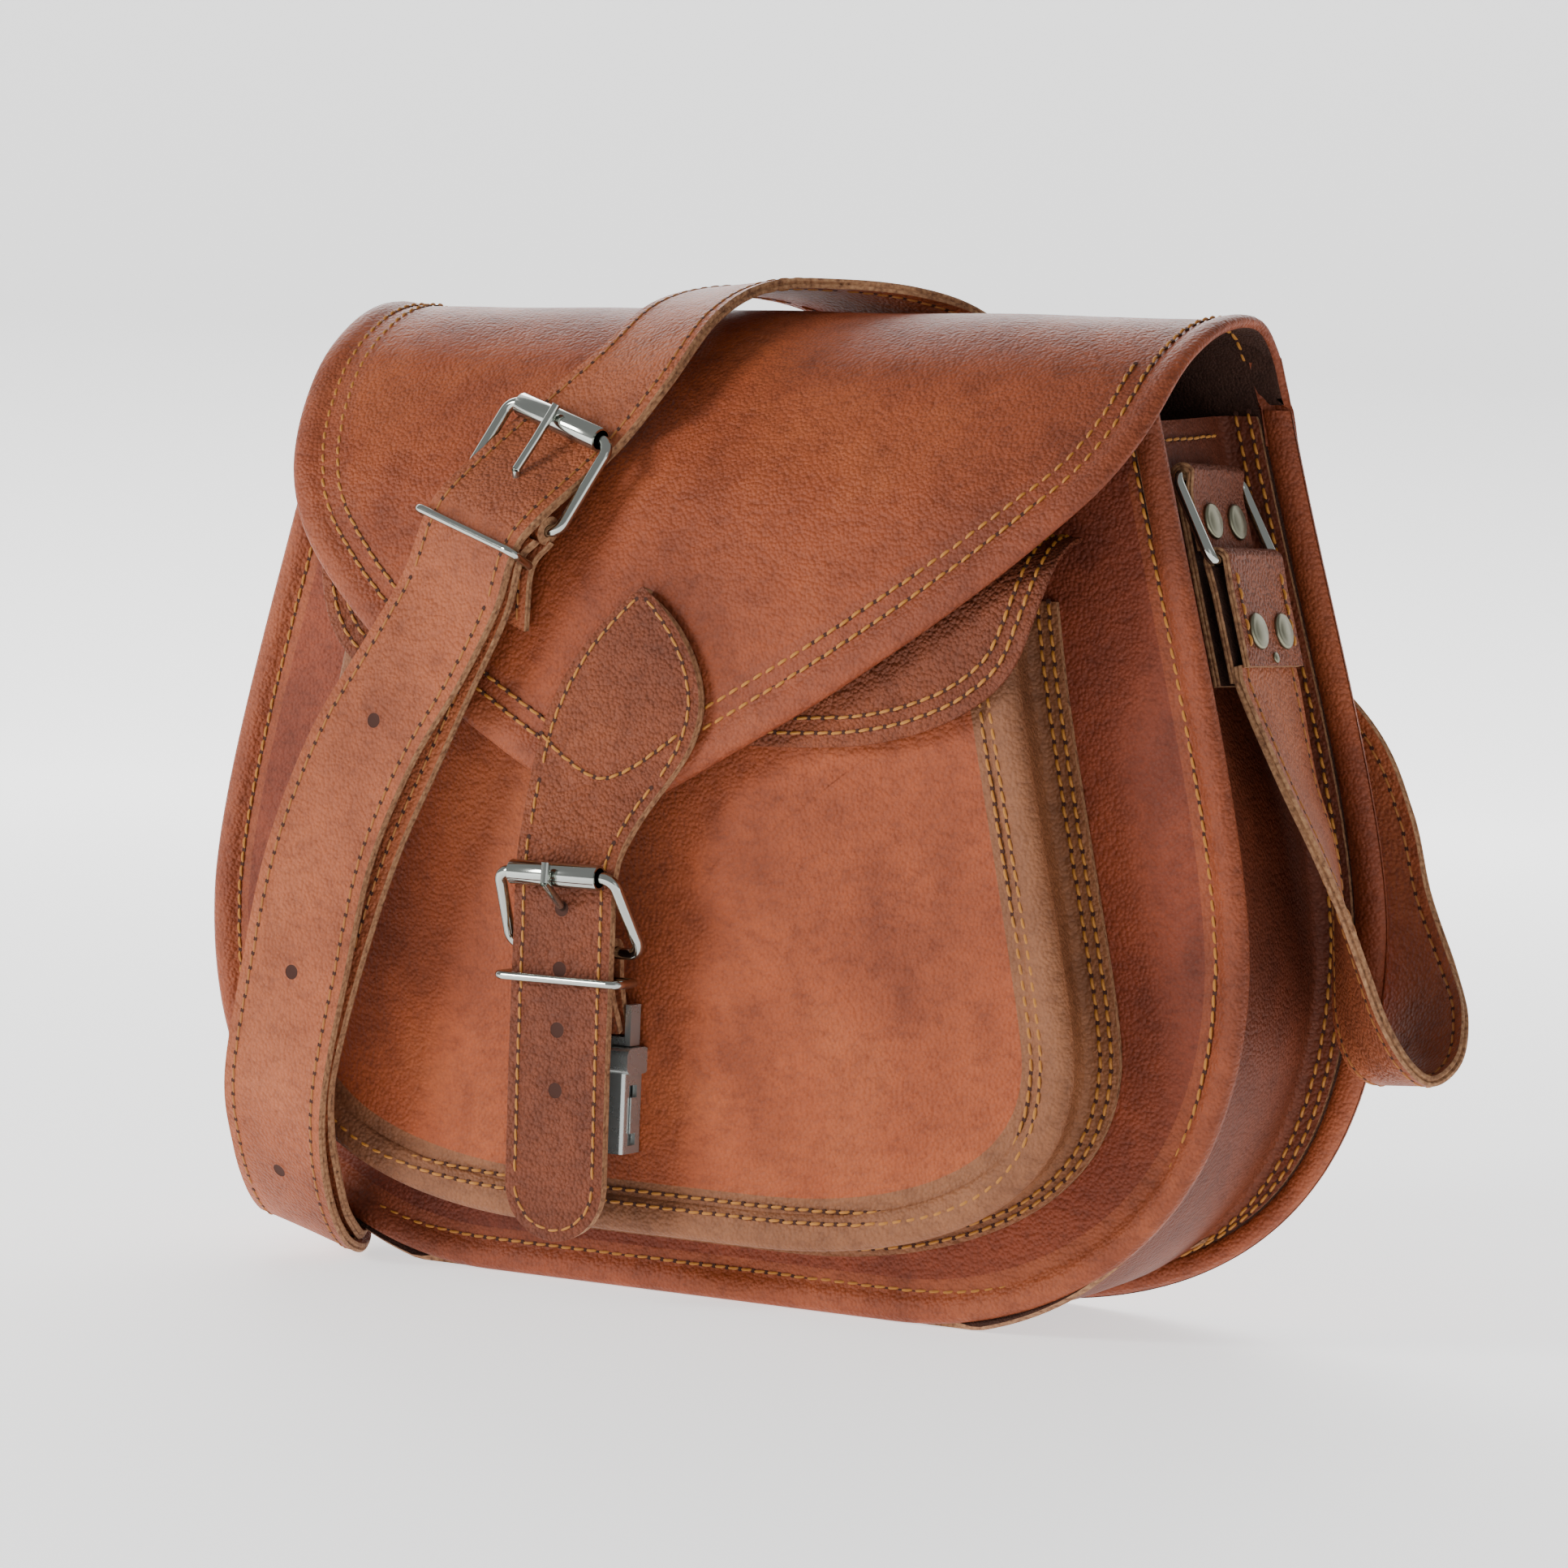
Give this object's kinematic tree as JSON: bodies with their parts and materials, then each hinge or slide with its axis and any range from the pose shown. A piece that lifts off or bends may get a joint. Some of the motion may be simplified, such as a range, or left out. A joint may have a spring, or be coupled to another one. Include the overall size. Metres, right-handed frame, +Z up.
{
  "type": "saddle bag",
  "caption": "Leather shoulder saddle bag with a front pocket, a flap that a buckled strap holds down, and an adjustable shoulder strap draped over it",
  "frame": {"origin": "centre of the flat stretch of the bottom that the bag stands on", "axes": "+X is the bag's width, to the right seen from the front; the front with the pocket and buckle faces -Y; +Z is up"},
  "size_m": [0.3481, 0.1262, 0.2579],
  "materials": {
    "tan_leather": "semi-gloss, waxed",
    "dark_leather": "semi-gloss, waxed",
    "dull_leather": "matt",
    "nickel": "polished",
    "gunmetal": "dark nickel plate",
    "rivet_nickel": "dull nickel"
  },
  "bodies": {
    "bag": {"back_panel": "tan_leather", "back_edge_roll": "tan_leather", "main_gusset": "tan_leather", "front_panel": "tan_leather", "front_edge_roll": "tan_leather", "pocket_panel": "tan_leather", "pocket_edge_roll": "dull_leather", "pocket_gusset": "dull_leather", "clip_housing": "gunmetal", "clip_plug": "gunmetal", "clip_rivets": "gunmetal", "side_tab_left": "tan_leather", "side_tab_right": "tan_leather", "side_tab_rivets_left": "rivet_nickel", "side_tab_rivets_right": "rivet_nickel", "strap_rear_run": "tan_leather", "strap_tail": "tan_leather", "short_strap_lower": "tan_leather"},
    "flap_body": {"flap": "tan_leather", "flap_edge_roll": "tan_leather", "strap_leaf": "dark_leather", "strap_front_run": "tan_leather", "short_strap_front": "tan_leather", "shoulder_chape": "tan_leather", "shoulder_buckle_frame": "nickel"},
    "pocket_flap_body": {"pocket_flap": "dark_leather"},
    "closure_body": {"closure_strap": "dark_leather", "closure_chape": "tan_leather", "closure_buckle_frame": "nickel"},
    "closure_roller_body": {"closure_roller": "nickel"},
    "closure_tongue_body": {"closure_tongue": "nickel"},
    "closure_keeper_body": {"closure_keeper": "nickel"},
    "shoulder_roller_body": {"shoulder_roller": "nickel"},
    "shoulder_tongue_body": {"shoulder_tongue": "nickel"},
    "shoulder_keeper_body": {"shoulder_keeper": "nickel"},
    "ring_left_body": {"ring_left": "nickel", "strap_end_left": "tan_leather", "strap_end_rivets_left": "rivet_nickel"},
    "ring_right_body": {"ring_right": "nickel", "strap_end_right": "tan_leather", "strap_end_rivets_right": "rivet_nickel"},
    "clip_arm_left_body": {"clip_arm_left": "gunmetal"},
    "clip_arm_right_body": {"clip_arm_right": "gunmetal"}
  },
  "joints": [
    {"name": "flap_hinge", "type": "hinge", "parent": "bag", "child": "flap_body", "pos_m": [0, 0.0246, 0.22825], "axis": [-1, 0, 0], "range_deg": [0, 85]},
    {"name": "pocket_flap_hinge", "type": "hinge", "parent": "bag", "child": "pocket_flap_body", "pos_m": [0, -0.0384, 0.1952], "axis": [-1, 0, 0], "range_deg": [0, 43]},
    {"name": "closure_hinge", "type": "hinge", "parent": "flap_body", "child": "closure_body", "pos_m": [-0.009, -0.0729, 0.13], "axis": [-1, 0, 0], "range_deg": [0, 90]},
    {"name": "closure_roller_spin", "type": "hinge", "parent": "closure_body", "child": "closure_roller_body", "pos_m": [-0.0165, -0.0807, 0.107], "axis": [1, 0, 0], "continuous": true},
    {"name": "closure_tongue_hinge", "type": "hinge", "parent": "closure_body", "child": "closure_tongue_body", "pos_m": [-0.0165, -0.0696, 0.088], "axis": [1, 0, 0], "range_deg": [0, 5]},
    {"name": "closure_keeper_hinge", "type": "hinge", "parent": "closure_body", "child": "closure_keeper_body", "pos_m": [-0.0165, -0.069, 0.081], "axis": [-1, 0, 0], "range_deg": [0, 10]},
    {"name": "shoulder_roller_spin", "type": "hinge", "parent": "flap_body", "child": "shoulder_roller_body", "pos_m": [-0.0329, -0.0598, 0.2182], "axis": [0.9339, -0.2099, -0.2893], "continuous": true},
    {"name": "shoulder_tongue_hinge", "type": "hinge", "parent": "flap_body", "child": "shoulder_tongue_body", "pos_m": [-0.042, -0.069, 0.1955], "axis": [0.9339, -0.2099, -0.2893], "range_deg": [0, 5]},
    {"name": "shoulder_keeper_hinge", "type": "hinge", "parent": "flap_body", "child": "shoulder_keeper_body", "pos_m": [-0.04738, -0.07077, 0.1869], "axis": [-0.9339, 0.2099, 0.2893], "range_deg": [0, 6]},
    {"name": "ring_right_swing", "type": "hinge", "parent": "bag", "child": "ring_right_body", "pos_m": [0.1209, -0.009, 0.2104], "axis": [0, -1, 0], "range_deg": [0, 22]},
    {"name": "ring_left_swing", "type": "hinge", "parent": "bag", "child": "ring_left_body", "pos_m": [-0.1209, -0.009, 0.2104], "axis": [0, 1, 0], "range_deg": [0, 22]},
    {"name": "clip_arm_right_squeeze", "type": "slide", "parent": "bag", "child": "clip_arm_right_body", "axis": [-1, 0, 0], "range_m": [0, 0.0009], "stiffness_N_per_m": 300},
    {"name": "clip_arm_left_squeeze", "type": "slide", "parent": "bag", "child": "clip_arm_left_body", "axis": [1, 0, 0], "range_m": [0, 0.0009], "stiffness_N_per_m": 300}
  ],
  "couplings": [
    {"joint": "pocket_flap_hinge", "follows": "flap_hinge", "ratio": 0.5}
  ]
}
